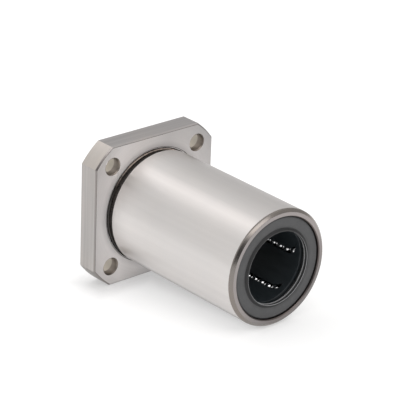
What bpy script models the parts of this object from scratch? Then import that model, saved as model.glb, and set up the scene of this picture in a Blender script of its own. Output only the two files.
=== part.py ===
"""Square-flange linear ball bushing for a 25 mm shaft, with six recirculating ball circuits.

Metres, +Z up. The bore axis lies along Y and the origin is on it, at half the bushing's length.
The open tube end, the front, points to -Y, and the flange closes the +Y end.
"""

import math

import bmesh
import bpy
from mathutils import Matrix, Vector

MM = 0.001

# Outer cylinder and flange
SHAFT_RADIUS = 12.5 * MM
LENGTH = 70.0 * MM
HALF_LENGTH = LENGTH / 2
TUBE_RADIUS = 20.0 * MM
TUBE_CHAMFER = 1.0 * MM
FLANGE_SIDE = 50.0 * MM
FLANGE_THICKNESS = 8.0 * MM
FLANGE_CORNER_RADIUS = 31.0 * MM
FLANGE_CHAMFER = 0.5 * MM
FLANGE_CHAMFER_EDGES = math.radians(60)
FLANGE_FRONT = HALF_LENGTH - FLANGE_THICKNESS

# Undercut at the tube's root, cut a little into the flange's face
UNDERCUT_WIDTH = 2.5 * MM
UNDERCUT_DEPTH = 0.75 * MM
UNDERCUT_SLOPE = 0.5 * MM
UNDERCUT_FACE_RADIUS = 20.35 * MM
UNDERCUT_FACE_DEPTH = 0.25 * MM

# Four counterbored screw holes
BOLT_CIRCLE_RADIUS = 25.5 * MM
HOLE_RADIUS = 2.75 * MM
HOLE_CHAMFER = 0.4 * MM
COUNTERBORE_RADIUS = 4.5 * MM
COUNTERBORE_DEPTH = 5.1 * MM

# Balls and their six circuits
BALL_RADIUS = 3.175 / 2 * MM
BALL_PITCH = 3.2 * MM
BALLS_IN_ROW = 16
BALLS_IN_TURN = 3
CIRCUITS = 6
FIRST_CIRCUIT_ANGLE = math.radians(-3)
TURN_RADIUS = 3.2 * MM
STRAIGHT_HALF = BALLS_IN_ROW * BALL_PITCH / 2
LOADED_RADIUS = SHAFT_RADIUS + BALL_RADIUS
RETURN_RADIUS = 15.4 * MM
NECK_RADIUS = 0.45 * MM

# Bore of the outer cylinder
LAND_RADIUS = 15.75 * MM
RELIEF_RADIUS = 17.3 * MM
END_BORE_RADIUS = 17.5 * MM
MOUTH_CHAMFER = 0.3 * MM
RAMP_END = STRAIGHT_HALF + 2.1 * MM
RELIEF_HALF_ANGLE = math.radians(13.5)
RELIEF_LEAD = math.radians(2)

# Seals and side rings, measured from the end faces inwards, and the retainer between them
FIT_GAP = 0.2 * MM
SEAL_RECESS = 0.6 * MM
SEAL_THICKNESS = 1.8 * MM
SEAL_RADIUS = 17.25 * MM
LIP_RADIUS = 12.55 * MM
LIP_TIP = 0.3 * MM
LIP_HEIGHT = 0.4 * MM
LIP_GAP_RADIUS = 13.1 * MM
DISH_INNER = 13.35 * MM
DISH_OUTER = 14.3 * MM
DISH_DEPTH = 0.35 * MM
RING_THICKNESS = 0.8 * MM
RING_RADIUS = 17.8 * MM
RING_HOLE_RADIUS = 13.6 * MM
RING_SPLIT = 4.0 * MM
RING_GROOVE_RADIUS = 18.05 * MM
RETAINER_BORE_RADIUS = 12.65 * MM
RETAINER_RADIUS = 15.5 * MM
COLLAR_RADIUS = 17.2 * MM
CHANNEL_CLEARANCE = 0.25 * MM

SEAL_FACE = HALF_LENGTH - SEAL_RECESS
SEAL_BACK = SEAL_FACE - SEAL_THICKNESS
RING_FACE = SEAL_BACK - FIT_GAP
RING_BACK = RING_FACE - RING_THICKNESS
RETAINER_END = RING_BACK - FIT_GAP

# How far cutters reach past what they cut, and how finely curves are divided
PAST = 1.0 * MM
TUBE_STEPS = 48
HOLE_STEPS = 24
CORNER_STEPS = 4
RELIEF_STEPS = 5
TRACK_STEPS = 6
BEAD_STEPS = 6
BEAD_ANGLES = [math.radians(angle) for angle in (40, 90, 140)]
BALL_SEGMENTS = 8
MERGE = 1e-6
QUARTER_TURN = math.radians(90)

# Base colour, roughness and metallic of each material
MATERIALS = {
    "ground_steel": ((0.62, 0.61, 0.60), 0.32, 1.0),
    "spring_steel": ((0.35, 0.34, 0.33), 0.4, 1.0),
    "bearing_steel": ((0.7, 0.7, 0.7), 0.12, 1.0),
    "black_nylon": ((0.02, 0.022, 0.024), 0.45, 0.0),
    "grey_rubber": ((0.1, 0.1, 0.1), 0.7, 0.0),
}


def clear_scene():
    for obj in list(bpy.data.objects):
        bpy.data.objects.remove(obj, do_unlink=True)


def new_collection(name):
    collection = bpy.data.collections.new(name)
    bpy.context.scene.collection.children.link(collection)
    return collection


def make_material(name):
    colour, roughness, metallic = MATERIALS[name]
    material = bpy.data.materials.new(name)
    material.use_nodes = True
    shader = material.node_tree.nodes["Principled BSDF"]
    shader.inputs["Base Color"].default_value = (*colour, 1)
    shader.inputs["Roughness"].default_value = roughness
    shader.inputs["Metallic"].default_value = metallic
    return material


def place(obj, collection, material=None):
    """Links an object as a part, or as a hidden helper when it has no material."""
    collection.objects.link(obj)
    if material is None:
        obj.hide_render = True
        obj.display_type = "WIRE"
    else:
        obj.data.materials.append(material)
    return obj


def along_bore(obj, facing=1):
    """Turns local Z to world +Y, the rear, or to -Y when facing is -1. Local X stays where it is."""
    obj.rotation_euler = (-facing * QUARTER_TURN, 0, 0)
    return obj


def turned(name, profile, steps, closed):
    """A profile of (radius, height) points turned about local Z, down the outer side first."""
    mesh = bpy.data.meshes.new(name)
    count = len(profile)
    edges = [(i, (i + 1) % count) for i in range(count if closed else count - 1)]
    mesh.from_pydata([(radius, 0, height) for radius, height in profile], edges, [])
    obj = bpy.data.objects.new(name, mesh)
    screw = obj.modifiers.new("Turn", "SCREW")
    screw.axis = "Z"
    screw.steps = steps
    screw.render_steps = steps
    screw.use_smooth_shade = True
    screw.use_merge_vertices = True
    screw.merge_threshold = MERGE
    return obj


def flat_outline(name, points, low, high):
    """A closed outline in local XY, extruded from low to high along local Z, as a mesh object."""
    curve = bpy.data.curves.new(name, "CURVE")
    curve.dimensions = "2D"
    curve.fill_mode = "BOTH"
    curve.extrude = (high - low) / 2
    spline = curve.splines.new("POLY")
    spline.points.add(len(points) - 1)
    for point, (x, y) in zip(spline.points, points):
        point.co = (x, y, 0, 1)
    spline.use_cyclic_u = True
    mesh = mesh_from(bpy.data.objects.new(name, curve))
    mesh.transform(Matrix.Translation((0, 0, (low + high) / 2)))
    return bpy.data.objects.new(name, mesh)


def mesh_from(curve_object):
    """The mesh that a curve object makes, with its caps welded. The curve object is removed."""
    bpy.context.scene.collection.objects.link(curve_object)
    graph = bpy.context.evaluated_depsgraph_get()
    mesh = bpy.data.meshes.new_from_object(curve_object.evaluated_get(graph))
    shape = bmesh.new()
    shape.from_mesh(mesh)
    bmesh.ops.remove_doubles(shape, verts=shape.verts, dist=MERGE)
    bmesh.ops.recalc_face_normals(shape, faces=shape.faces)
    shape.to_mesh(mesh)
    shape.free()
    bpy.data.objects.remove(curve_object, do_unlink=True)
    return mesh


def arc(radius, start, end, steps):
    angles = [start + (end - start) * i / steps for i in range(steps + 1)]
    return [(radius * math.cos(a), radius * math.sin(a)) for a in angles]


def boolean(obj, other, operation):
    modifier = obj.modifiers.new(f"{operation.title()} {other.name}", "BOOLEAN")
    modifier.operation = operation
    modifier.object = other
    modifier.solver = "EXACT"


def bevel(obj, width, angle):
    modifier = obj.modifiers.new("Bevel", "BEVEL")
    modifier.width = width
    modifier.segments = 1
    modifier.limit_method = "ANGLE"
    modifier.angle_limit = angle


def flange_outline():
    """A square whose corners are cut by a circle about the bore."""
    half = FLANGE_SIDE / 2
    first = math.acos(half / FLANGE_CORNER_RADIUS)
    points = []
    for quarter in range(4):
        turn = quarter * QUARTER_TURN
        points += arc(FLANGE_CORNER_RADIUS, turn + first, turn + QUARTER_TURN - first, CORNER_STEPS)
    return points


def tube_bar():
    """The tube's outside as a solid bar that ends inside the flange."""
    top = FLANGE_FRONT + FLANGE_THICKNESS / 2
    profile = [
        (0, top),
        (TUBE_RADIUS, top),
        (TUBE_RADIUS, -HALF_LENGTH + TUBE_CHAMFER),
        (TUBE_RADIUS - TUBE_CHAMFER, -HALF_LENGTH),
        (0, -HALF_LENGTH),
    ]
    return turned("outer_cylinder", profile, TUBE_STEPS, closed=False)


def undercut_cutter():
    bottom = TUBE_RADIUS - UNDERCUT_DEPTH
    shoulder = FLANGE_FRONT - UNDERCUT_WIDTH
    out = UNDERCUT_FACE_RADIUS - TUBE_RADIUS
    profile = [
        (UNDERCUT_FACE_RADIUS, FLANGE_FRONT),
        (UNDERCUT_FACE_RADIUS, shoulder - out * UNDERCUT_SLOPE / UNDERCUT_DEPTH),
        (bottom, shoulder + UNDERCUT_SLOPE),
        (bottom, FLANGE_FRONT + UNDERCUT_FACE_DEPTH),
        (TUBE_RADIUS + out / 2, FLANGE_FRONT + UNDERCUT_FACE_DEPTH),
    ]
    return turned("undercut_cutter", profile, TUBE_STEPS, closed=True)


def bore_cutter():
    """The bore from face to face: mouths, seal seats, ring grooves, turn rooms and lands."""
    half = [
        (END_BORE_RADIUS + MOUTH_CHAMFER + PAST, HALF_LENGTH + PAST),
        (END_BORE_RADIUS, HALF_LENGTH - MOUTH_CHAMFER),
        (END_BORE_RADIUS, RING_FACE + FIT_GAP),
        (RING_GROOVE_RADIUS, RING_FACE + FIT_GAP),
        (RING_GROOVE_RADIUS, RING_BACK - FIT_GAP),
        (END_BORE_RADIUS, RING_BACK - FIT_GAP),
        (END_BORE_RADIUS, RAMP_END),
        (LAND_RADIUS, STRAIGHT_HALF),
    ]
    other_half = [(radius, -height) for radius, height in reversed(half)]
    past = HALF_LENGTH + PAST
    profile = [(0, past), *half, *other_half, (0, -past)]
    return turned("bore_cutter", profile, TUBE_STEPS, closed=False)


def hole_cutter():
    step = HALF_LENGTH - COUNTERBORE_DEPTH
    profile = [
        (0, HALF_LENGTH + PAST),
        (COUNTERBORE_RADIUS, HALF_LENGTH + PAST),
        (COUNTERBORE_RADIUS, step),
        (HOLE_RADIUS, step),
        (HOLE_RADIUS, FLANGE_FRONT + HOLE_CHAMFER),
        (HOLE_RADIUS + HOLE_CHAMFER + PAST, FLANGE_FRONT - PAST),
        (0, FLANGE_FRONT - PAST),
    ]
    return turned("hole_cutter", profile, HOLE_STEPS, closed=False)


def relief_cutter(angle):
    """Room in the cylinder's wall for one return row, open to both turn rooms."""
    end = RAMP_END + PAST
    low, high = angle - RELIEF_HALF_ANGLE, angle + RELIEF_HALF_ANGLE
    outer = arc(RELIEF_RADIUS, low, high, RELIEF_STEPS)
    inner = arc(LAND_RADIUS - PAST, high, low, RELIEF_STEPS // 2)
    return flat_outline("relief_cutter", [*outer, *inner], -end, end)


def make_outer_cylinder(parts, cutters):
    obj = along_bore(tube_bar())
    flange = flat_outline("flange_blank", flange_outline(), FLANGE_FRONT, HALF_LENGTH)
    bevel(flange, FLANGE_CHAMFER, FLANGE_CHAMFER_EDGES)
    boolean(obj, place(along_bore(flange), cutters), "UNION")
    boolean(obj, place(along_bore(undercut_cutter()), cutters), "DIFFERENCE")
    boolean(obj, place(along_bore(bore_cutter()), cutters), "DIFFERENCE")
    for circuit in range(CIRCUITS):
        # Local +Y is world -Z here, so an angle from +X towards +Z turns the other way.
        angle = -(row_angle(circuit, RETURN_RADIUS) + RELIEF_LEAD)
        boolean(obj, place(along_bore(relief_cutter(angle)), cutters), "DIFFERENCE")
    offset = BOLT_CIRCLE_RADIUS / math.sqrt(2)
    for x in (-offset, offset):
        for z in (-offset, offset):
            cutter = along_bore(hole_cutter())
            cutter.location = (x, 0, z)
            boolean(obj, place(cutter, cutters), "DIFFERENCE")
    return place(obj, parts, make_material("ground_steel"))


def row_angle(circuit, radius):
    """Where a circuit's row stands about the bore, from +X towards +Z."""
    loaded = FIRST_CIRCUIT_ANGLE + circuit * 2 * math.pi / CIRCUITS
    if radius == LOADED_RADIUS:
        return loaded
    chord = 2 * TURN_RADIUS
    cosine = (LOADED_RADIUS**2 + RETURN_RADIUS**2 - chord**2) / (2 * LOADED_RADIUS * RETURN_RADIUS)
    return loaded + math.acos(cosine)


def row_point(circuit, radius):
    angle = row_angle(circuit, radius)
    return Vector((radius * math.cos(angle), 0, radius * math.sin(angle)))


def circuit_frame(circuit):
    """X from the loaded row to the return row, Y towards the front, Z outwards."""
    loaded = row_point(circuit, LOADED_RADIUS)
    returning = row_point(circuit, RETURN_RADIUS)
    across = (returning - loaded).normalized()
    front = Vector((0, -1, 0))
    outwards = across.cross(front)
    axes = Matrix((across, front, outwards)).transposed().to_4x4()
    return Matrix.Translation((loaded + returning) / 2) @ axes


def racetrack(steps):
    """The ball centres' closed path in a circuit's own XY plane."""
    points = []
    for side in (1, -1):
        for i in range(steps + 1):
            angle = math.pi * i / steps
            x = side * TURN_RADIUS * math.cos(angle)
            points.append((x, side * (STRAIGHT_HALF + TURN_RADIUS * math.sin(angle))))
    return points


def closed_curve(name, points):
    curve = bpy.data.curves.new(name, "CURVE")
    curve.dimensions = "2D"
    curve.fill_mode = "NONE"
    spline = curve.splines.new("POLY")
    spline.points.add(len(points) - 1)
    for point, (x, y) in zip(spline.points, points):
        point.co = (x, y, 0, 1)
    spline.use_cyclic_u = True
    return bpy.data.objects.new(name, curve)


def channel_mesh(cutters):
    """A racetrack channel with a round bottom, open outwards past the retainer's collars."""
    radius = BALL_RADIUS + CHANNEL_CLEARANCE
    top = COLLAR_RADIUS - SHAFT_RADIUS
    section = [(radius, top), (-radius, top), *arc(radius, -math.pi, 0, TRACK_STEPS)]
    profile = closed_curve("channel_section", section)
    place(profile, cutters)
    track = closed_curve("channel_cutter", racetrack(TRACK_STEPS))
    track.data.bevel_mode = "OBJECT"
    track.data.bevel_object = profile
    return mesh_from(track)


def retainer_profile():
    """Outer side from the rear collar to the front one, then back along the bore."""
    waist = STRAIGHT_HALF - FIT_GAP
    collar = RAMP_END + FIT_GAP
    return [
        (COLLAR_RADIUS, RETAINER_END),
        (COLLAR_RADIUS, collar),
        (RETAINER_RADIUS, waist),
        (RETAINER_RADIUS, -waist),
        (COLLAR_RADIUS, -collar),
        (COLLAR_RADIUS, -RETAINER_END),
        (RETAINER_BORE_RADIUS, -RETAINER_END),
        (RETAINER_BORE_RADIUS, RETAINER_END),
    ]


def make_retainer(parts, cutters):
    obj = along_bore(turned("ball_retainer", retainer_profile(), TUBE_STEPS, closed=True))
    channel = channel_mesh(cutters)
    for circuit in range(CIRCUITS):
        cutter = bpy.data.objects.new(f"channel_cutter_{circuit + 1}", channel)
        cutter.matrix_world = circuit_frame(circuit)
        boolean(obj, place(cutter, cutters), "DIFFERENCE")
    return place(obj, parts, make_material("black_nylon"))


def seal_profile():
    """Outer side first, then the back, both wiping lips and the shallow dish round the outer lip."""
    middle = SEAL_FACE - LIP_HEIGHT
    return [
        (SEAL_RADIUS, SEAL_FACE),
        (SEAL_RADIUS, SEAL_BACK),
        (LIP_GAP_RADIUS, SEAL_BACK),
        (LIP_RADIUS, middle - LIP_HEIGHT),
        (LIP_GAP_RADIUS, middle),
        (LIP_RADIUS, SEAL_FACE + LIP_HEIGHT / 2),
        (LIP_RADIUS + LIP_TIP, SEAL_FACE + LIP_HEIGHT / 2),
        (DISH_INNER, SEAL_FACE - DISH_DEPTH),
        (DISH_OUTER, SEAL_FACE),
    ]


def make_seals(parts):
    rubber = make_material("grey_rubber")
    for name, facing in (("rear_seal", 1), ("front_seal", -1)):
        obj = along_bore(turned(name, seal_profile(), TUBE_STEPS, closed=True), facing)
        place(obj, parts, rubber)


def ring_outline():
    """A flat ring with a split at its lowest point."""
    gap = math.asin(RING_SPLIT / 2 / RING_RADIUS)
    start, end = gap - QUARTER_TURN, 3 * QUARTER_TURN - gap
    outer = arc(RING_RADIUS, start, end, TUBE_STEPS)
    inner = arc(RING_HOLE_RADIUS, end, start, TUBE_STEPS)
    return [*outer, *inner]


def make_side_rings(parts):
    spring_steel = make_material("spring_steel")
    for name, facing in (("rear_side_ring", 1), ("front_side_ring", -1)):
        obj = flat_outline(name, ring_outline(), RING_BACK, RING_FACE)
        place(along_bore(obj, facing), parts, spring_steel)


def bead_profile():
    """A row of balls as one turned solid: each ball narrows to a thin neck at its neighbours."""
    length = BALLS_IN_ROW * BALL_PITCH
    first = length / 2 - BALL_PITCH / 2
    profile = [(0, first + BALL_RADIUS)]
    for ball in range(BALLS_IN_ROW):
        centre = first - ball * BALL_PITCH
        for angle in BEAD_ANGLES:
            profile.append((BALL_RADIUS * math.sin(angle), centre + BALL_RADIUS * math.cos(angle)))
        if ball < BALLS_IN_ROW - 1:
            profile.append((NECK_RADIUS, centre - BALL_PITCH / 2))
    profile.append((0, -first - BALL_RADIUS))
    return profile


def make_ball_rows(parts, steel):
    beads = turned("bead_row", bead_profile(), BEAD_STEPS, closed=False)
    for circuit in range(CIRCUITS):
        for kind, radius in (("loaded", LOADED_RADIUS), ("return", RETURN_RADIUS)):
            obj = beads.copy()
            obj.data = beads.data.copy()
            obj.name = f"{kind}_balls_{circuit + 1}"
            obj.location = row_point(circuit, radius)
            turn = Matrix.Rotation(-row_angle(circuit, radius), 4, "Y")
            along = Matrix.Rotation(-QUARTER_TURN, 4, "X")
            obj.rotation_euler = (turn @ along).to_euler()
            place(obj, parts, steel)
    bpy.data.objects.remove(beads)


def ball_mesh():
    shape = bmesh.new()
    rings = BALL_SEGMENTS // 2
    bmesh.ops.create_uvsphere(shape, u_segments=BALL_SEGMENTS, v_segments=rings, radius=BALL_RADIUS)
    mesh = bpy.data.meshes.new("turn_ball")
    shape.to_mesh(mesh)
    shape.free()
    mesh.shade_smooth()
    return mesh


def turn_pivot(name, frame, end, parts):
    """An empty on a turn's hinge axis, which its balls are parented to."""
    pivot = bpy.data.objects.new(name, None)
    pivot.matrix_world = frame @ Matrix.Translation((0, end * STRAIGHT_HALF, 0))
    parts.objects.link(pivot)
    return pivot


def make_turn_balls(parts, steel):
    mesh = ball_mesh()
    mesh.materials.append(steel)
    for circuit in range(CIRCUITS):
        frame = circuit_frame(circuit)
        for end_name, end in (("front", 1), ("rear", -1)):
            turn = f"{end_name}_turn_{circuit + 1}"
            pivot = turn_pivot(f"{turn}_pivot", frame, end, parts)
            for ball in range(BALLS_IN_TURN):
                angle = math.pi * (ball + 0.5) / BALLS_IN_TURN
                obj = bpy.data.objects.new(f"{turn}_ball_{ball + 1}", mesh)
                parts.objects.link(obj)
                obj.parent = pivot
                x, y = -TURN_RADIUS * math.cos(angle), end * TURN_RADIUS * math.sin(angle)
                obj.location = (x, y, 0)


def main():
    clear_scene()
    parts = new_collection("linear_ball_bushing")
    cutters = new_collection("cutters")
    make_outer_cylinder(parts, cutters)
    make_retainer(parts, cutters)
    make_seals(parts)
    make_side_rings(parts)
    ball_steel = make_material("bearing_steel")
    make_ball_rows(parts, ball_steel)
    make_turn_balls(parts, ball_steel)


main()
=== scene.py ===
"""The looks of the linear ball bushing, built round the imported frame: steel, rubber, nylon and balls."""

import math
from collections import namedtuple

import bmesh
import bpy
from mathutils import Matrix, Vector


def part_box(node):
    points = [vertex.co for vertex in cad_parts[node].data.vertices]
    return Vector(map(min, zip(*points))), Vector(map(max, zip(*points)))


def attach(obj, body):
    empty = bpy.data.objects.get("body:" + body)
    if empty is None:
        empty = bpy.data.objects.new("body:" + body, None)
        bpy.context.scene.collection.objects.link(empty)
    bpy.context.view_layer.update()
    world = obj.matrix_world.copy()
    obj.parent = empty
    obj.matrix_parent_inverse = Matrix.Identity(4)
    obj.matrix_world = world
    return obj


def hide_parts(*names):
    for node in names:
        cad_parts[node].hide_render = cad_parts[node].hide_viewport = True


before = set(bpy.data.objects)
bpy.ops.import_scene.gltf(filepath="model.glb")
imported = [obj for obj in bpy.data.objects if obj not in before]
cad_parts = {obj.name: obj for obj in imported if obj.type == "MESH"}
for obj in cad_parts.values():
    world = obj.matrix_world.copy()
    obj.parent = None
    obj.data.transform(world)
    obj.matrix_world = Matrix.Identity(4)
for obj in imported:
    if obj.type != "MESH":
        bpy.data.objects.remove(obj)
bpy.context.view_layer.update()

MM = 0.001

# Sizes that the CAD solids are drawn to.
CYLINDER_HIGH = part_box("outer_cylinder")[1]
HALF_LENGTH = CYLINDER_HIGH.y
FLANGE_HALF = CYLINDER_HIGH.z
FLANGE_CORNER = 31.0 * MM
FLANGE_FRONT = HALF_LENGTH - 8.0 * MM
TUBE_RADIUS = 20.0 * MM
BOLT_OFFSET = 25.5 * MM / math.sqrt(2)
HOLE_RADIUS = 2.75 * MM
COUNTERBORE_RADIUS = 4.5 * MM
COUNTERBORE_DEPTH = 5.1 * MM
LAND_RADIUS = 15.75 * MM
RELIEF_RADIUS = 17.3 * MM
END_BORE_RADIUS = 17.5 * MM
RING_GROOVE_RADIUS = 18.05 * MM
BALL_RADIUS = 1.5875 * MM
BALLS_IN_ROW = 16
STRAIGHT_HALF = BALLS_IN_ROW * 1.6 * MM
TURN_ROOM_END = STRAIGHT_HALF + 2.1 * MM
TURN_RADIUS = 3.2 * MM
CIRCUITS = 6

# Small forms that only the looks have.
SPIGOT_RADIUS = 20.05 * MM
SPIGOT_WIDTH = 0.4 * MM
SPIGOT_FLAT = 0.18 * MM
SPIGOT_SINK = 0.12 * MM
UNDERCUT_LENGTH = 2.5 * MM
UNDERCUT_SINK = 0.25 * MM
MOUTH_CHAMFER = 0.3 * MM
HAIR = 0.01 * MM

ROUND_STEPS = 192
CUTTER_PAST = 1.0 * MM
WELD = 1e-6

# Scales of the noises that several steels share, and how deep their grain is.
FINE_MARKS = 9000
STAINS = 55
CLOUDS = 140
GRAIN = 0.02 * MM


def new_object(name, mesh):
    obj = bpy.data.objects.new(name, mesh)
    bpy.context.scene.collection.objects.link(obj)
    return obj


def mesh_of(name, points, faces):
    """A closed mesh from points and faces, welded, with its faces turned outwards."""
    mesh = bpy.data.meshes.new(name)
    mesh.from_pydata([tuple(p) for p in points], [], faces)
    shape = bmesh.new()
    shape.from_mesh(mesh)
    bmesh.ops.remove_doubles(shape, verts=shape.verts, dist=WELD)
    bmesh.ops.recalc_face_normals(shape, faces=shape.faces)
    shape.to_mesh(mesh)
    shape.free()
    return mesh


def rounded(corners, closed=True, steps=4):
    """A flat outline whose (x, y, radius) corners are turned into arcs."""
    count = len(corners)
    points = []
    for i, (x, y, radius) in enumerate(corners):
        here = Vector((x, y))
        if radius <= 0 or (not closed and i in (0, count - 1)):
            points.append((x, y))
            continue
        back = (Vector(corners[i - 1][:2]) - here).normalized()
        ahead = (Vector(corners[(i + 1) % count][:2]) - here).normalized()
        half = back.angle(ahead) / 2
        centre = here + (back + ahead).normalized() * (radius / math.sin(half))
        first = here + back * (radius / math.tan(half)) - centre
        last = here + ahead * (radius / math.tan(half)) - centre
        sweep = first.angle_signed(last)
        for step in range(steps + 1):
            turned = first.copy()
            turned.rotate(Matrix.Rotation(-sweep * step / steps, 2))
            points.append(tuple(centre + turned))
    return points


def ring_faces(rings, size, closed):
    """Quads between rings of equal size, and a cap on each end when the rings don't close."""
    faces = []
    for ring in range(rings if closed else rings - 1):
        a, b = ring * size, (ring + 1) % rings * size
        for i in range(size):
            j = (i + 1) % size
            faces.append((a + i, a + j, b + j, b + i))
    if not closed:
        faces.append(tuple(range(size)))
        faces.append(tuple((rings - 1) * size + i for i in range(size)))
    return faces


def turned(name, profile, steps=ROUND_STEPS, closed=True):
    """A profile of (radius, y) points turned about the bore axis."""
    points = []
    for radius, y in profile:
        for step in range(steps):
            angle = 2 * math.pi * step / steps
            points.append((radius * math.cos(angle), y, radius * math.sin(angle)))
    return mesh_of(name, points, ring_faces(len(profile), steps, closed))


def cut(obj, mesh, operation="DIFFERENCE", matrix=None):
    """One Boolean, applied at once."""
    other = new_object("cutter", mesh)
    if matrix is not None:
        other.matrix_world = matrix
    modifier = obj.modifiers.new("Cut", "BOOLEAN")
    modifier.operation = operation
    modifier.object = other
    modifier.solver = "EXACT"
    bpy.context.view_layer.update()
    graph = bpy.context.evaluated_depsgraph_get()
    result = bpy.data.meshes.new_from_object(obj.evaluated_get(graph))
    obj.modifiers.clear()
    obj.data = result
    bpy.data.objects.remove(other, do_unlink=True)


def shade(obj, degrees=30):
    """Smooth shading that keeps real edges sharp and flat faces flat."""
    obj.data.shade_smooth()
    obj.data.set_sharp_from_angle(angle=math.radians(degrees))
    modifier = obj.modifiers.new("Flat faces stay flat", "WEIGHTED_NORMAL")
    modifier.keep_sharp = True
    modifier.weight = 100


# ---------------------------------------------------------------- materials


class Nodes:
    """A material's node tree, with short calls for what the materials below share."""

    def __init__(self, name):
        self.material = bpy.data.materials.new(name)
        self.material.use_nodes = True
        self.tree = self.material.node_tree
        self.shader = self.tree.nodes["Principled BSDF"]
        self.coordinates = self.add("ShaderNodeTexCoord").outputs["Object"]

    def add(self, kind, **settings):
        node = self.tree.nodes.new(kind)
        for key, value in settings.items():
            setattr(node, key, value)
        return node

    def link(self, source, target):
        self.tree.links.new(source, target)

    def scaled(self, scale):
        node = self.add("ShaderNodeMapping")
        node.inputs["Scale"].default_value = scale
        self.link(self.coordinates, node.inputs["Vector"])
        return node.outputs["Vector"]

    def noise(self, vector, scale, detail=4.0, roughness=0.6):
        node = self.add("ShaderNodeTexNoise")
        self.link(vector, node.inputs["Vector"])
        node.inputs["Scale"].default_value = scale
        node.inputs["Detail"].default_value = detail
        node.inputs["Roughness"].default_value = roughness
        return node.outputs["Fac"]

    def ramp(self, value, stops):
        node = self.add("ShaderNodeValToRGB")
        elements = node.color_ramp.elements
        while len(elements) < len(stops):
            elements.new(0.5)
        for element, (position, colour) in zip(elements, stops):
            element.position = position
            element.color = (*colour, 1)
        self.link(value, node.inputs["Fac"])
        return node.outputs["Color"]

    def ranged(self, value, low, high, from_low=0.0, from_high=1.0):
        node = self.add("ShaderNodeMapRange")
        node.inputs["From Min"].default_value = from_low
        node.inputs["From Max"].default_value = from_high
        node.inputs["To Min"].default_value = low
        node.inputs["To Max"].default_value = high
        self.link(value, node.inputs["Value"])
        return node.outputs["Result"]

    def math(self, operation, a, b=0):
        node = self.add("ShaderNodeMath", operation=operation)
        for socket, value in zip(node.inputs, (a, b)):
            if isinstance(value, (int, float)):
                socket.default_value = value
            else:
                self.link(value, socket)
        return node.outputs["Value"]

    def fade(self, direction, low, start, end):
        """1 up to the distance start along a direction from the origin, falling to low at end; in mm."""
        dot = self.add("ShaderNodeVectorMath", operation="DOT_PRODUCT")
        self.link(self.coordinates, dot.inputs[0])
        dot.inputs[1].default_value = Vector(direction).normalized()
        return self.ranged(dot.outputs["Value"], 1.0, low, start * MM, end * MM)

    def shaded(self, colour, value):
        """A colour multiplied by a single value."""
        grey = self.add("ShaderNodeCombineXYZ")
        for socket in grey.inputs:
            self.link(value, socket)
        product = self.add("ShaderNodeMix", data_type="RGBA", blend_type="MULTIPLY")
        factor, first, second = (product.inputs[i] for i in (0, 6, 7))
        factor.default_value = 1.0
        self.link(colour, first)
        self.link(grey.outputs[0], second)
        return product.outputs[2]

    def stained(self, tones):
        """Wide soft stains that run between three near tones."""
        stains = self.noise(self.coordinates, STAINS, 5.0, 0.55)
        return self.ramp(stains, list(zip((0.3, 0.5, 0.7), tones)))

    def component(self, vector, axis="X"):
        node = self.add("ShaderNodeSeparateXYZ")
        self.link(vector, node.inputs[0])
        return node.outputs[axis]

    def product(self, *values):
        """Values multiplied together."""
        result = values[0]
        for value in values[1:]:
            result = self.math("MULTIPLY", result, value)
        return result

    def bump(self, height, strength, distance):
        node = self.add("ShaderNodeBump")
        node.inputs["Strength"].default_value = strength
        node.inputs["Distance"].default_value = distance
        self.link(height, node.inputs["Height"])
        if self.shader.inputs["Normal"].is_linked:
            self.link(self.shader.inputs["Normal"].links[0].from_socket, node.inputs["Normal"])
        self.link(node.outputs["Normal"], self.shader.inputs["Normal"])

    def uneven_gloss(self, lines, roughness, spread=0.02):
        """Roughness that wanders a little along the marks and in wide clouds."""
        clouds = self.ranged(self.noise(self.coordinates, CLOUDS, 3.0), -spread, spread)
        along = self.ranged(lines, roughness - spread, roughness + spread)
        self.link(self.math("ADD", clouds, along), self.shader.inputs["Roughness"])

    def radius(self):
        """Distance from the bore axis, for marks that run round it on a flat face."""
        squares = [self.math("POWER", self.component(self.coordinates, axis), 2) for axis in "XZ"]
        join = self.add("ShaderNodeCombineXYZ")
        self.link(self.math("SQRT", self.math("ADD", *squares)), join.inputs["X"])
        return join.outputs[0]


def steel(name, tones, roughness, marks, marks_scale=FINE_MARKS, streaks=0.02, painted_shade=None):
    """Machined steel: cutter or grinding marks along one direction, faint stains and uneven gloss.

    marks is the scale of the coordinates along x, y and z, near 0 along the marks, or None for rings
    on a face. painted_shade is what Nodes.fade takes, for painted shade that darkens one side."""
    nodes = Nodes(name)
    vector = nodes.radius() if marks is None else nodes.scaled(marks)
    lines = nodes.noise(vector, marks_scale, 3.0, 0.7)
    wide_lines = nodes.noise(vector, marks_scale / 12, 2.0, 0.5)
    streak = nodes.ranged(wide_lines, 1 - streaks, 1 + streaks, 0.3, 0.7)
    # painted shade on one side, when one is given
    if painted_shade:
        streak = nodes.product(streak, nodes.fade(*painted_shade))
    nodes.link(nodes.shaded(nodes.stained(tones), streak), nodes.shader.inputs["Base Color"])
    nodes.uneven_gloss(lines, roughness)
    nodes.shader.inputs["Metallic"].default_value = 1.0
    nodes.bump(lines, 0.04, GRAIN)
    return nodes.material


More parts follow.
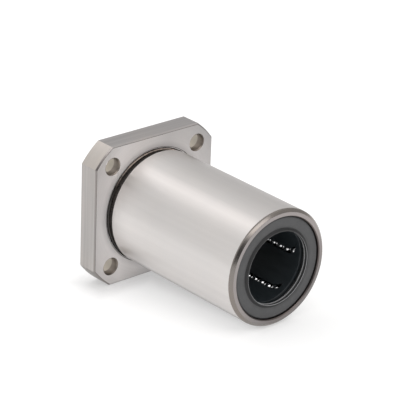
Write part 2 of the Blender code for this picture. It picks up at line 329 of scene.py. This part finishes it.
def faced_steel():
    """The flange's turned front: fine rings, and painted shade that leaves it brightest beside the tube.

    Painted shade darkens its right half, and its left edge a little."""
    nodes = Nodes("faced_steel")
    radius = nodes.radius()
    rings = nodes.noise(radius, 6000, 3.0, 0.7)
    wide_rings = nodes.ranged(nodes.noise(radius, 500, 2.0, 0.5), 1.04, 1.1, 0.3, 0.7)
    # painted shade: darker towards the plate's corners, over the right half and at the left edge
    outwards = nodes.ranged(nodes.component(radius), 1.0, 0.8, 22 * MM, FLANGE_CORNER)
    painted_shade_left_edge = nodes.fade((-1, 0, 0), 0.86, 15, 24)
    painted_shade_right_half = nodes.fade((1, 0, 0), 0.74, -14, 6)
    value = nodes.product(outwards, painted_shade_right_half, painted_shade_left_edge, wide_rings)
    colour = nodes.stained(tints((0.90, 0.873, 0.863), 0.02))
    nodes.link(nodes.shaded(colour, value), nodes.shader.inputs["Base Color"])
    nodes.link(nodes.ranged(rings, 0.7, 0.8), nodes.shader.inputs["Roughness"])
    nodes.shader.inputs["Metallic"].default_value = 1.0
    nodes.bump(rings, 0.05, GRAIN)
    return nodes.material


def ground_steel():
    """The tube's ground surface: marks round it draw reflections out along the axis.

    Painted light makes it brightest by the flange, and painted shade makes it darker below and on the far
    side."""
    nodes = Nodes("ground_steel")
    lines = nodes.noise(nodes.scaled((0.02, 1, 0.02)), FINE_MARKS, 3.0, 0.7)
    # painted light: brighter towards the flange; painted shade: darker below and on the +x side
    root = nodes.ranged(nodes.component(nodes.coordinates, "Y"), 1.0, 1.1, 6 * MM, 22 * MM)
    painted_shade_below = nodes.fade((0, 0, -1), 0.5, 12.3, 15.4)
    painted_shade_far_side = nodes.fade((1, 0, 0), 0.86, 4, 9)
    wheel_passes = nodes.noise(nodes.scaled((1, 0.02, 1)), 450, 3.0, 0.6)
    passes = nodes.ranged(wheel_passes, 0.975, 1.025, 0.3, 0.7)
    value = nodes.product(root, painted_shade_below, painted_shade_far_side, passes)
    colour = nodes.stained(tints((0.665, 0.64, 0.625), 0.012))
    nodes.link(nodes.shaded(colour, value), nodes.shader.inputs["Base Color"])
    nodes.uneven_gloss(lines, 0.36)
    nodes.shader.inputs["Metallic"].default_value = 1.0
    tangent = nodes.add("ShaderNodeTangent", direction_type="RADIAL", axis="Y")
    nodes.link(tangent.outputs["Tangent"], nodes.shader.inputs["Tangent"])
    nodes.shader.inputs["Anisotropic"].default_value = 0.85
    nodes.shader.inputs["Anisotropic Rotation"].default_value = 0.25
    nodes.bump(lines, 0.02, GRAIN)
    return nodes.material


def tints(colour, spread):
    """Three near tones of one colour, cooler, itself and warmer, for stains to run between."""
    shift = (-spread / 4, 0, spread / 4)
    cooler = tuple(value * (1 - spread) + change for value, change in zip(colour, shift))
    warmer = tuple(value * (1 + spread) - change for value, change in zip(colour, shift))
    return cooler, colour, warmer


def scale_black():
    """Hard dark scale left by heat treatment where nothing was ground: glossy, faintly brown.

    A thin band of it along the top of the groove's back wall carries a painted highlight, many times
    paler."""
    nodes = Nodes("black_scale")
    patches = nodes.noise(nodes.coordinates, 900, 4.0)
    colour = nodes.ramp(patches, [(0.35, (0.012, 0.010, 0.009)), (0.65, (0.03, 0.024, 0.02))])
    # painted highlight: a thin band at the top of the groove's back wall, 21 times brighter
    radius = nodes.component(nodes.radius())
    band_start = nodes.ranged(radius, 0.0, 1.0, 19.3 * MM, 19.4 * MM)
    band_end = nodes.ranged(radius, 1.0, 0.0, 19.6 * MM, 19.7 * MM)
    painted_highlight_top = nodes.fade((0, 0, -1), 0.0, -17, -10)
    painted_highlight = nodes.product(band_start, band_end, painted_highlight_top, 20.0)
    nodes.link(nodes.shaded(colour, nodes.math("ADD", painted_highlight, 1.0)), nodes.shader.inputs["Base Color"])
    nodes.link(nodes.ranged(patches, 0.14, 0.24), nodes.shader.inputs["Roughness"])
    nodes.shader.inputs["Specular IOR Level"].default_value = 0.45
    nodes.bump(patches, 0.1, GRAIN)
    return nodes.material


def rubber():
    """Moulded nitrile: matt, with a fine grain and a little dust.

    The hollow beside the lip is darkened with painted shade, and the lip's ridge carries a painted
    highlight, weaker at the top."""
    nodes = Nodes("seal_rubber")
    grain = nodes.noise(nodes.coordinates, 5200, 3.0)
    dust = nodes.noise(nodes.coordinates, 300, 5.0, 0.65)
    dark, middle, pale = (0.070, 0.071, 0.073), (0.084, 0.085, 0.087), (0.105, 0.105, 0.107)
    colour = nodes.ramp(dust, [(0.3, dark), (0.55, middle), (0.8, pale)])
    radius = nodes.component(nodes.radius())
    # painted shade: inside 13.5 mm darkened to a third; painted highlight: the lips' edges nearly 5 times
    # paler, weaker at the top
    painted_shade_hollow = nodes.ranged(radius, 0.32, 1.0, 13.5 * MM, 13.7 * MM)
    ridge = nodes.ranged(radius, 1.0, 0.0, 12.54 * MM, 12.65 * MM)
    painted_highlight = nodes.product(ridge, nodes.fade((0, 0, 1), 0.15, 2, 10), 4.5)
    nodes.link(nodes.shaded(colour, nodes.math("ADD", painted_shade_hollow, painted_highlight)), nodes.shader.inputs["Base Color"])
    nodes.link(nodes.ranged(dust, 0.52, 0.7), nodes.shader.inputs["Roughness"])
    nodes.shader.inputs["Specular IOR Level"].default_value = 0.45
    nodes.bump(nodes.noise(nodes.radius(), 2600, 2.0), 0.15, 1.5 * GRAIN)
    nodes.bump(grain, 0.25, GRAIN)
    return nodes.material


def nylon():
    """Injection-moulded black nylon, satin, with flow marks along the bore."""
    nodes = Nodes("black_nylon")
    flow = nodes.noise(nodes.scaled((1, 0.12, 1)), 700, 4.0)
    grain = nodes.noise(nodes.coordinates, 4200, 2.0)
    colour = nodes.ramp(flow, [(0.3, (0.019, 0.025, 0.029)), (0.7, (0.028, 0.036, 0.041))])
    nodes.link(colour, nodes.shader.inputs["Base Color"])
    nodes.link(nodes.ranged(flow, 0.38, 0.55), nodes.shader.inputs["Roughness"])
    nodes.bump(grain, 0.15, GRAIN)
    return nodes.material


def polished():
    """Lapped ball steel: mirror bright with the faintest uneven gloss."""
    nodes = Nodes("ball_steel")
    haze = nodes.noise(nodes.coordinates, 1800, 4.0)
    colour = nodes.ramp(haze, [(0.3, (0.70, 0.70, 0.71)), (0.7, (0.78, 0.78, 0.79))])
    nodes.link(colour, nodes.shader.inputs["Base Color"])
    nodes.link(nodes.ranged(haze, 0.05, 0.12), nodes.shader.inputs["Roughness"])
    nodes.shader.inputs["Metallic"].default_value = 1.0
    return nodes.material


def spring_steel():
    tones = ((0.28, 0.27, 0.26), (0.35, 0.34, 0.33), (0.4, 0.39, 0.38))
    return steel("spring_steel", tones, 0.36, (1, 0.05, 1), 2500)


# ---------------------------------------------------------------- outer cylinder


def flange_outline(inset):
    """The square with its corners cut by a circle about the bore, drawn in from its edge by inset."""
    half, corner = FLANGE_HALF - inset, FLANGE_CORNER - inset
    first = math.acos(half / corner)
    steps = 12
    corners = []
    for quarter in range(4):
        turn = quarter * math.pi / 2
        for step in range(steps + 1):
            angle = turn + first + (math.pi / 2 - 2 * first) * step / steps
            edge = 0.3 * MM if step in (0, steps) else 0
            corners.append((corner * math.cos(angle), corner * math.sin(angle), edge))
    return rounded(corners)


def flange_plate():
    chamfer = 0.45 * MM
    edge = 0.22 * MM
    inside = 6 * MM
    stations = rounded(
        [
            (inside, FLANGE_FRONT, 0),
            (chamfer, FLANGE_FRONT, edge),
            (0, FLANGE_FRONT + chamfer, edge),
            (0, HALF_LENGTH - chamfer, edge),
            (chamfer, HALF_LENGTH, edge),
            (inside, HALF_LENGTH, 0),
        ],
        closed=False,
    )[1:-1]
    rings = [[(x, y, z) for x, z in flange_outline(inset)] for inset, y in stations]
    points = [point for ring in rings for point in ring]
    return mesh_of("flange_plate", points, ring_faces(len(rings), len(rings[0]), False))


def tube_bar():
    top = FLANGE_FRONT + 4 * MM
    chamfer = 1.0 * MM
    corners = [
        (0, -HALF_LENGTH, 0),
        (TUBE_RADIUS - chamfer, -HALF_LENGTH, 0.2 * MM),
        (TUBE_RADIUS, -HALF_LENGTH + chamfer, 1.0 * MM),
        (TUBE_RADIUS, top, 0),
        (0, top, 0),
    ]
    return turned("outer_cylinder_body", rounded(corners, closed=False, steps=5), closed=False)


def undercut_ring():
    """The relief at the flange's root: a sloped shoulder, a round floor and a step in the face."""
    floor = TUBE_RADIUS - 0.75 * MM
    shoulder = FLANGE_FRONT - UNDERCUT_LENGTH
    step = FLANGE_FRONT + SPIGOT_SINK
    back = FLANGE_FRONT + UNDERCUT_SINK
    corners = [
        (SPIGOT_RADIUS, step, 0.05 * MM),
        (SPIGOT_RADIUS + SPIGOT_FLAT, step, 0),
        (SPIGOT_RADIUS + SPIGOT_WIDTH, FLANGE_FRONT - HAIR, 0),
        (SPIGOT_RADIUS, FLANGE_FRONT - HAIR, 0),
        (SPIGOT_RADIUS, shoulder - 0.25 * MM, 0),
        (floor, shoulder + 0.5 * MM, 0.4 * MM),
        (floor, back, 0.55 * MM),
        (SPIGOT_RADIUS - SPIGOT_FLAT, back, 0.1 * MM),
    ]
    return turned("undercut", rounded(corners, steps=5))


def bore_plug():
    """The bore from face to face: mouths, seal seats, ring grooves, turn rooms and lands."""
    ring_face = HALF_LENGTH - 2.4 * MM
    ring_back = ring_face - 1.2 * MM
    half = [
        (0, HALF_LENGTH + CUTTER_PAST, 0),
        (END_BORE_RADIUS + MOUTH_CHAMFER + CUTTER_PAST, HALF_LENGTH + CUTTER_PAST, 0),
        (END_BORE_RADIUS, HALF_LENGTH - MOUTH_CHAMFER, 0.1 * MM),
        (END_BORE_RADIUS, ring_face, 0),
        (RING_GROOVE_RADIUS, ring_face, 0),
        (RING_GROOVE_RADIUS, ring_back, 0),
        (END_BORE_RADIUS, ring_back, 0),
        (END_BORE_RADIUS, TURN_ROOM_END, 0.5 * MM),
        (LAND_RADIUS, STRAIGHT_HALF, 0.5 * MM),
    ]
    corners = half + [(radius, -y, r) for radius, y, r in reversed(half)]
    return turned("bore", rounded(corners, closed=False), closed=False)


def hole_plug(x, z):
    """One screw hole and its counterbore, with a chamfer at each mouth."""
    step = HALF_LENGTH - COUNTERBORE_DEPTH
    wide_chamfer, chamfer = 0.25 * MM, 0.4 * MM
    corners = [
        (0, HALF_LENGTH + CUTTER_PAST, 0),
        (COUNTERBORE_RADIUS + wide_chamfer + CUTTER_PAST, HALF_LENGTH + CUTTER_PAST, 0),
        (COUNTERBORE_RADIUS, HALF_LENGTH - wide_chamfer, 0),
        (COUNTERBORE_RADIUS, step, 0.3 * MM),
        (HOLE_RADIUS, step, 0.1 * MM),
        (HOLE_RADIUS, FLANGE_FRONT + chamfer, 0.15 * MM),
        (HOLE_RADIUS + chamfer + CUTTER_PAST, FLANGE_FRONT - CUTTER_PAST, 0),
        (0, FLANGE_FRONT - CUTTER_PAST, 0),
    ]
    mesh = turned("hole", rounded(corners, closed=False), 64, closed=False)
    mesh.transform(Matrix.Translation((x, 0, z)))
    return mesh


def relief_bar(angle):
    """Room in the wall for one return row."""
    end = TURN_ROOM_END + CUTTER_PAST
    reach = math.radians(13.5)
    outline = []
    for radius, steps, sweep in ((RELIEF_RADIUS, 16, reach), (LAND_RADIUS - CUTTER_PAST, 4, -reach)):
        for step in range(steps + 1):
            turn = angle - sweep + 2 * sweep * step / steps
            outline.append((radius * math.cos(turn), radius * math.sin(turn)))
    points = [(x, y, z) for y in (-end, end) for x, z in outline]
    return mesh_of("relief", points, ring_faces(2, len(outline), False))


def centre_of(node):
    low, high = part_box(node)
    return (low + high) / 2


def row_angle(node):
    centre = centre_of(node)
    return math.atan2(centre.z, centre.x)


def in_hole(face):
    """Whether a face lies in one of the screw holes, rather than on the plate's outside."""
    between = FLANGE_FRONT + 0.02 * MM < face.y < HALF_LENGTH - 0.02 * MM
    inset = 0.6 * MM
    in_square = max(abs(face.place.x), abs(face.place.z)) < FLANGE_HALF - inset
    return between and in_square and face.radius < FLANGE_CORNER - inset


GROUND_END = FLANGE_FRONT - UNDERCUT_LENGTH
GROOVE_BACK = FLANGE_FRONT + UNDERCUT_SINK + 0.05 * MM
SPIGOT_END = SPIGOT_RADIUS + SPIGOT_WIDTH + HAIR
MOUTH_END = HALF_LENGTH - 2.3 * MM
COUNTERBORE_FLOOR = HALF_LENGTH - COUNTERBORE_DEPTH - 0.02 * MM
# Some regions carry painted shade or highlight: line, mouth and hole are darkened, bevel_x darkened and
# bevel_z brightened.
STEEL_REGIONS = (
    ("ground", lambda face: abs(face.radius - TUBE_RADIUS) < 0.03 * MM and face.y < GROUND_END),
    ("rim", lambda face: face.y < -HALF_LENGTH + 0.02 * MM),
    ("edge", lambda face: face.y < -HALF_LENGTH + 1.5 * MM and face.radius > END_BORE_RADIUS + 0.6 * MM),
    ("mouth", lambda face: abs(face.y) > MOUTH_END and face.radius < END_BORE_RADIUS + 0.45 * MM),
    ("bore", lambda face: face.radius < RING_GROOVE_RADIUS + 0.05 * MM),
    ("scale", lambda face: face.radius < SPIGOT_RADIUS + HAIR and face.y < GROOVE_BACK),
    ("line", lambda face: face.radius < SPIGOT_END and abs(face.normal.y) < 0.9 and face.y < GROOVE_BACK),
    ("spigot", lambda face: face.radius < SPIGOT_END and face.y < GROOVE_BACK),
    ("hole", lambda face: in_hole(face) and face.y < COUNTERBORE_FLOOR),
    ("counterbore", in_hole),
    ("face", lambda face: abs(face.normal.y) > 0.97),
    ("line", lambda face: abs(face.normal.y) > 0.74),
    ("bevel_x", lambda face: abs(face.normal.y) > 0.2 and abs(face.normal.z) < 0.65),
    ("bevel_z", lambda face: abs(face.normal.y) > 0.2),
    ("side_x", lambda face: abs(face.normal.x) > 0.95),
    ("side_z", lambda face: abs(face.normal.z) > 0.95),
    ("corner", lambda face: True),
)
Face = namedtuple("Face", "radius y normal place")


def paint_regions(obj, materials):
    """Gives each face the material of the machining that made it, some with painted shade or painted
    highlight.
    """
    slots = list(materials)
    for name in slots:
        obj.data.materials.append(materials[name])
    vertices = obj.data.vertices
    for polygon in obj.data.polygons:
        centre = polygon.center
        corners = [vertices[v].co for v in polygon.vertices]
        radius = sum(math.hypot(co.x, co.z) for co in corners) / len(corners)
        face = Face(radius, centre.y, polygon.normal, centre)
        name = next(name for name, test in STEEL_REGIONS if test(face))
        polygon.material_index = slots.index(name)


def cylinder_materials():
    """One steel for each kind of machining, some with painted shade and some with painted highlight; marks
    (x, y, z) are near 0 along the marks.
    """
    round_marks, along_marks = (0.02, 1, 0.02), (0.3, 1, 0.3)
    drilled_marks = (0.05, 1, 0.05)
    # painted shade: the rim darker towards the lower right, the plate's corners darker towards the bottom
    painted_shade_low_right = ((0.7, 0, -1), 0.62, 0, 20)
    painted_shade_lower_corners = ((0, 0, -1), 0.42, 3, 17)
    rim, corner = tints((0.335, 0.307, 0.30), 0.02), tints((0.48, 0.447, 0.417), 0.04)
    seat, milled_x, milled_z = (0.43, 0.395, 0.34), (0.43, 0.408, 0.394), (0.42, 0.40, 0.395)
    return {
        "ground": ground_steel(),
        "rim": steel("turned_rim_steel", rim, 0.33, None, streaks=0.03, painted_shade=painted_shade_low_right),
        "edge": steel("unground_edge_steel", tints((0.24, 0.217, 0.20), 0.03), 0.24, round_marks),
        # painted shade: the seal seat is much darker than the bore of the same turning
        "mouth": steel("painted_shade_seal_seat_steel", tints((0.14, 0.12, 0.115), 0.02), 0.4, round_marks),
        "bore": steel("honed_bore_steel", tints((0.45, 0.43, 0.42), 0.03), 0.35, round_marks),
        "scale": scale_black(),
        # painted shade: the drilled hole wall is darker than the counterbore
        "hole": steel("painted_shade_drilled_steel", tints((0.26, 0.228, 0.20), 0.03), 0.42, drilled_marks, 5000),
        "counterbore": steel("counterbored_steel", tints(seat, 0.03), 0.5, drilled_marks, 5000),
        "face": faced_steel(),
        "side_x": steel("milled_steel_x", tints(milled_x, 0.02), 0.42, (1, 1, 0.02), streaks=0.12),
        "side_z": steel("milled_steel_z", tints(milled_z, 0.02), 0.4, (0.02, 1, 1), streaks=0.12),
        "corner": steel(
            "turned_corner_steel", corner, 0.38, round_marks, 4000, streaks=0.03, painted_shade=painted_shade_lower_corners
        ),
        # painted shade: dark lines along the flange face's edge roundings and on the spigot's walls
        "line": steel("painted_shade_line_steel", tints((0.13, 0.115, 0.105), 0.03), 0.4, along_marks),
        "spigot": steel("spigot_steel", tints((0.95, 0.92, 0.908), 0.03), 0.6, None),
        # one bevel: painted shade darkens the side bevels, painted highlight brightens the top and bottom
        # bevels
        "bevel_x": steel("painted_shade_side_bevel_steel", tints((0.30, 0.28, 0.27), 0.03), 0.3, along_marks, 3000),
        "bevel_z": steel("painted_highlight_bevel_steel", tints((0.50, 0.47, 0.46), 0.03), 0.3, along_marks, 3000),
    }


def make_cylinder():
    obj = new_object("steel_outer_cylinder", tube_bar())
    cut(obj, flange_plate(), "UNION")
    cut(obj, undercut_ring())
    cut(obj, bore_plug())
    lead = math.radians(2)
    for circuit in range(CIRCUITS):
        cut(obj, relief_bar(row_angle(f"return_balls_{circuit + 1}") + lead))
    for x in (-BOLT_OFFSET, BOLT_OFFSET):
        for z in (-BOLT_OFFSET, BOLT_OFFSET):
            cut(obj, hole_plug(x, z))
    paint_regions(obj, cylinder_materials())
    shade(obj)
    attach(obj, "root")
    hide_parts("outer_cylinder")


# ---------------------------------------------------------------- retainer


def circuit_matrix(circuit):
    """X from the loaded row to the return row, Y towards the front, Z outwards."""
    loaded_row, return_row = (centre_of(f"{kind}_balls_{circuit + 1}") for kind in ("loaded", "return"))
    across = (return_row - loaded_row).normalized()
    front = Vector((0, -1, 0))
    axes = Matrix((across, front, across.cross(front))).transposed().to_4x4()
    return Matrix.Translation((loaded_row + return_row) / 2) @ axes


def channel_bar():
    """A racetrack channel with a round bottom, in a circuit's own frame, open outwards."""
    radius = BALL_RADIUS + 0.07 * MM
    top = 4.7 * MM
    section = [(radius, top), (-radius, top)]
    bottom_steps = 12
    for step in range(bottom_steps + 1):
        angle = -math.pi + math.pi * step / bottom_steps
        section.append((radius * math.cos(angle), radius * math.sin(angle)))
    points = []
    turn_steps = 24
    for side in (1, -1):
        for step in range(turn_steps + 1):
            angle = math.pi * step / turn_steps
            out = Vector((side * math.cos(angle), side * math.sin(angle), 0))
            centre = out * TURN_RADIUS + Vector((0, side * STRAIGHT_HALF, 0))
            points += [centre + out * across + Vector((0, 0, up)) for across, up in section]
    rings = 2 * (turn_steps + 1)
    return mesh_of("channel", points, ring_faces(rings, len(section), True))


def make_retainer():
    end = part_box("ball_retainer")[1].y
    collar, waist, bore = 17.2 * MM, 15.5 * MM, 12.65 * MM
    collar_start, waist_end = STRAIGHT_HALF + 2.3 * MM, STRAIGHT_HALF - 0.2 * MM
    edge = 0.15 * MM
    corners = [
        (collar, end, edge),
        (collar, collar_start, edge),
        (waist, waist_end, 0.4 * MM),
        (waist, -waist_end, 0.4 * MM),
        (collar, -collar_start, edge),
        (collar, -end, edge),
        (bore, -end, 0.3 * MM),
        (bore, end, 0.3 * MM),
    ]
    obj = new_object("nylon_ball_retainer", turned("retainer", rounded(corners)))
    for circuit in range(CIRCUITS):
        cut(obj, channel_bar(), matrix=circuit_matrix(circuit))
    obj.data.materials.append(nylon())
    shade(obj)
    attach(obj, "root")
    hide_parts("ball_retainer")


# ---------------------------------------------------------------- seals, rings and balls


def make_seals():
    """Each seal has two wiping lips, and a shallow dish round the outer one."""
    material = rubber()
    for name, facing in (("front_seal", -1), ("rear_seal", 1)):
        low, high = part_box(name)
        proud, back = (high.y, low.y) if facing > 0 else (low.y, high.y)
        inwards = -facing
        face = proud + inwards * 0.2 * MM
        outer = END_BORE_RADIUS - 0.05 * MM
        lip, between_lips, back_hole = 12.42 * MM, 13.0 * MM, 13.3 * MM
        ridge, dish_floor, dish_edge = 12.85 * MM, 13.35 * MM, 14.3 * MM
        edge, lip_edge = 0.1 * MM, 0.08 * MM
        corners = [
            (outer, face, 0.8 * MM),
            (outer, back, edge),
            (back_hole, back, edge),
            (lip, face + inwards * 1.0 * MM, lip_edge),
            (between_lips, face + inwards * 0.4 * MM, 0.2 * MM),
            (lip, face - inwards * 0.4 * MM, lip_edge),
            (ridge, face - inwards * 0.42 * MM, edge),
            (dish_floor, face + inwards * 0.3 * MM, 0.15 * MM),
            (dish_edge, face, 0.3 * MM),
        ]
        obj = new_object(f"rubber_{name}", turned(name, rounded(corners)))
        obj.data.materials.append(material)
        shade(obj, 40)
        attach(obj, "root")
        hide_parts(name)


def make_side_rings():
    """Flat rings, split at the bottom."""
    material = spring_steel()
    for name in ("front_side_ring", "rear_side_ring"):
        low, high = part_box(name)
        outer, hole = high.x, 13.6 * MM
        half_gap = math.asin(2.0 * MM / outer)
        start, end = -math.pi / 2 + half_gap, 3 * math.pi / 2 - half_gap
        edge = 0.12 * MM
        corners = ((outer, low.y), (outer, high.y), (hole, high.y), (hole, low.y))
        section = rounded([(*corner, edge) for corner in corners], steps=3)
        points = []
        steps = 180
        for step in range(steps + 1):
            angle = start + (end - start) * step / steps
            points += [(radius * math.cos(angle), y, radius * math.sin(angle)) for radius, y in section]
        mesh = mesh_of(name, points, ring_faces(steps + 1, len(section), False))
        obj = new_object(f"steel_{name}", mesh)
        obj.data.materials.append(material)
        shade(obj)
        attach(obj, "root")
        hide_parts(name)


def ball_mesh(name, centres):
    """True round balls at these centres."""
    shape = bmesh.new()
    for centre in centres:
        place = Matrix.Translation(centre)
        bmesh.ops.create_icosphere(shape, subdivisions=4, radius=BALL_RADIUS, matrix=place)
    mesh = bpy.data.meshes.new(name)
    shape.to_mesh(mesh)
    shape.free()
    mesh.shade_smooth()
    return mesh


def make_balls():
    material = polished()
    jobs = []
    for circuit in range(1, CIRCUITS + 1):
        for kind in ("loaded", "return"):
            node = f"{kind}_balls_{circuit}"
            low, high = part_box(node)
            pitch = (high.y - low.y - 2 * BALL_RADIUS) / (BALLS_IN_ROW - 1)
            first = (BALLS_IN_ROW - 1) / 2
            offsets = [Vector((0, (first - i) * pitch, 0)) for i in range(BALLS_IN_ROW)]
            centres = [centre_of(node) + offset for offset in offsets]
            jobs.append((node, f"{kind}_row_{circuit}", centres))
        for end in ("front", "rear"):
            for ball in (1, 2, 3):
                node = f"{end}_turn_{circuit}_ball_{ball}"
                jobs.append((node, f"{end}_turn_{circuit}", [centre_of(node)]))
    for node, body, centres in jobs:
        obj = new_object(f"polished_{node}", ball_mesh(node, centres))
        obj.data.materials.append(material)
        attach(obj, body)
        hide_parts(node)


# ---------------------------------------------------------------- studio


def make_floor():
    """The bushing lies on the flange's lower front edge and the rim of its open end.

    The floor glows faintly, with a painted shadow: the glow is dimmer close under the tube and the flange."""
    slope = math.atan2(FLANGE_HALF - TUBE_RADIUS, FLANGE_FRONT + HALF_LENGTH)
    origin = Vector((0, FLANGE_FRONT, -FLANGE_HALF - 0.05 * MM))
    place = Matrix.Translation(origin) @ Matrix.Rotation(-slope, 4, "X")
    size = 6.0
    corners = [(-size, -size, 0), (size, -size, 0), (size, size, 0), (-size, size, 0)]
    mesh = mesh_of("floor", [place @ Vector(corner) for corner in corners], [(0, 1, 2, 3)])
    floor = new_object("studio_floor", mesh)
    nodes = Nodes("pale_floor")
    mottle = nodes.noise(nodes.coordinates, 60, 3.0)
    greys = nodes.ramp(mottle, [(0.3, (0.57, 0.57, 0.57)), (0.7, (0.59, 0.59, 0.59))])
    nodes.link(greys, nodes.shader.inputs["Base Color"])
    nodes.link(nodes.ranged(mottle, 0.75, 0.85), nodes.shader.inputs["Roughness"])
    nodes.shader.inputs["Emission Color"].default_value = (1, 1, 1, 1)

    # painted shadow: the glow dims from 0.545 to 0.4 within 9 mm of the tube and the flange
    tube_half, plate_middle, plate_half_width, plate_half_depth = 30 * MM, 30 * MM, 21 * MM, 3 * MM
    across = nodes.math("ABSOLUTE", nodes.component(nodes.coordinates, "X"))
    along = nodes.component(nodes.coordinates, "Y")
    past_end = nodes.math("SUBTRACT", nodes.math("ABSOLUTE", along), tube_half)
    beside_plate = nodes.math("ABSOLUTE", nodes.math("SUBTRACT", along, plate_middle))
    past_face = nodes.math("SUBTRACT", beside_plate, plate_half_depth)
    past_side = nodes.math("SUBTRACT", across, plate_half_width)
    from_tube = nodes.math("MAXIMUM", across, past_end)
    from_plate = nodes.math("MAXIMUM", past_side, past_face)
    clear = nodes.math("MINIMUM", from_tube, from_plate)
    glow_with_painted_shadow = nodes.ranged(clear, 0.4, 0.545, 2.5 * MM, 9 * MM)
    nodes.link(glow_with_painted_shadow, nodes.shader.inputs["Emission Strength"])
    nodes.shader.inputs["Specular IOR Level"].default_value = 0.1
    mesh.materials.append(nodes.material)


def softbox(name, direction, distance, size, radiance, colour=(1, 1, 1)):
    """An area light that faces the object from this direction."""
    light = bpy.data.lights.new(name, "AREA")
    light.shape = "RECTANGLE"
    light.size, light.size_y = size
    light.energy = radiance * math.pi * size[0] * size[1]
    light.color = colour
    obj = new_object(name, light)
    towards = Vector(direction).normalized()
    obj.location = towards * distance
    obj.rotation_euler = towards.to_track_quat("Z", "Y").to_euler()


def make_light():
    """An even white tent with a dimmer right side and a dark camera opening, and two softboxes above."""
    world = bpy.data.worlds.new("studio")
    bpy.context.scene.world = world
    world.use_nodes = True
    tree = world.node_tree
    background = tree.nodes["Background"]
    direction = tree.nodes.new("ShaderNodeTexCoord").outputs["Generated"]

    def patch(towards, edge, middle, value):
        """Factor 1 outside a round patch of the tent, falling to value inside it; angles in degrees."""
        dot = tree.nodes.new("ShaderNodeVectorMath")
        dot.operation = "DOT_PRODUCT"
        dot.inputs[1].default_value = Vector(towards).normalized()
        tree.links.new(direction, dot.inputs[0])
        fall = tree.nodes.new("ShaderNodeMapRange")
        fall.interpolation_type = "SMOOTHSTEP"
        fall.inputs["From Min"].default_value = math.cos(math.radians(edge))
        fall.inputs["From Max"].default_value = math.cos(math.radians(middle))
        fall.inputs["To Min"].default_value = 1.0
        fall.inputs["To Max"].default_value = value
        tree.links.new(dot.outputs["Value"], fall.inputs["Value"])
        return fall.outputs["Result"]

    def product(first, second):
        node = tree.nodes.new("ShaderNodeMath")
        node.operation = "MULTIPLY"
        tree.links.new(first, node.inputs[0])
        tree.links.new(second, node.inputs[1])
        return node.outputs["Value"]

    right_back = patch((0.80, 0.55, 0.12), 58, 20, 0.72)
    camera_opening = patch((-0.65, -0.70, 0.22), 38, 12, 0.1)
    right_front = patch((0.62, -0.75, 0.10), 65, 20, 0.55)
    strength = product(product(right_back, camera_opening), right_front)
    tree.links.new(strength, background.inputs["Strength"])
    background.inputs["Color"].default_value = (1.0, 0.995, 0.99, 1)
    softbox("front_softbox", (-0.07, -0.65, 0.755), 1.2, (0.95, 0.34), 2.1, (1.0, 0.97, 0.96))
    softbox("overhead_softbox", (-0.12, 0.69, 0.71), 1.2, (0.4, 1.0), 0.62, (1.0, 0.95, 0.94))


def make_camera():
    """The photograph's viewing angle."""
    yaw, elevation, roll = (math.radians(a) for a in (-41.42, 23.77, 2.24))
    target = Vector((2.84, 7.0, 7.95)) * MM
    distance = 746.15 * MM
    flat = math.cos(elevation)
    back = Vector((math.sin(yaw) * flat, -math.cos(yaw) * flat, math.sin(elevation)))
    level = Vector((0, 0, 1)).cross(back).normalized()
    upright = back.cross(level)
    right = math.cos(roll) * level + math.sin(roll) * upright
    up = -math.sin(roll) * level + math.cos(roll) * upright
    camera = bpy.data.cameras.new("camera")
    camera.sensor_width = 36.0
    camera.lens = 204.6
    camera.clip_start = 0.01
    obj = new_object("camera", camera)
    axes = Matrix((right, up, back)).transposed().to_4x4()
    obj.matrix_world = Matrix.Translation(target + back * distance) @ axes
    bpy.context.scene.camera = obj


make_cylinder()
make_retainer()
make_seals()
make_side_rings()
make_balls()
make_floor()
make_light()
make_camera()
bpy.context.scene.view_settings.view_transform = "Standard"

bpy.context.view_layer.update()
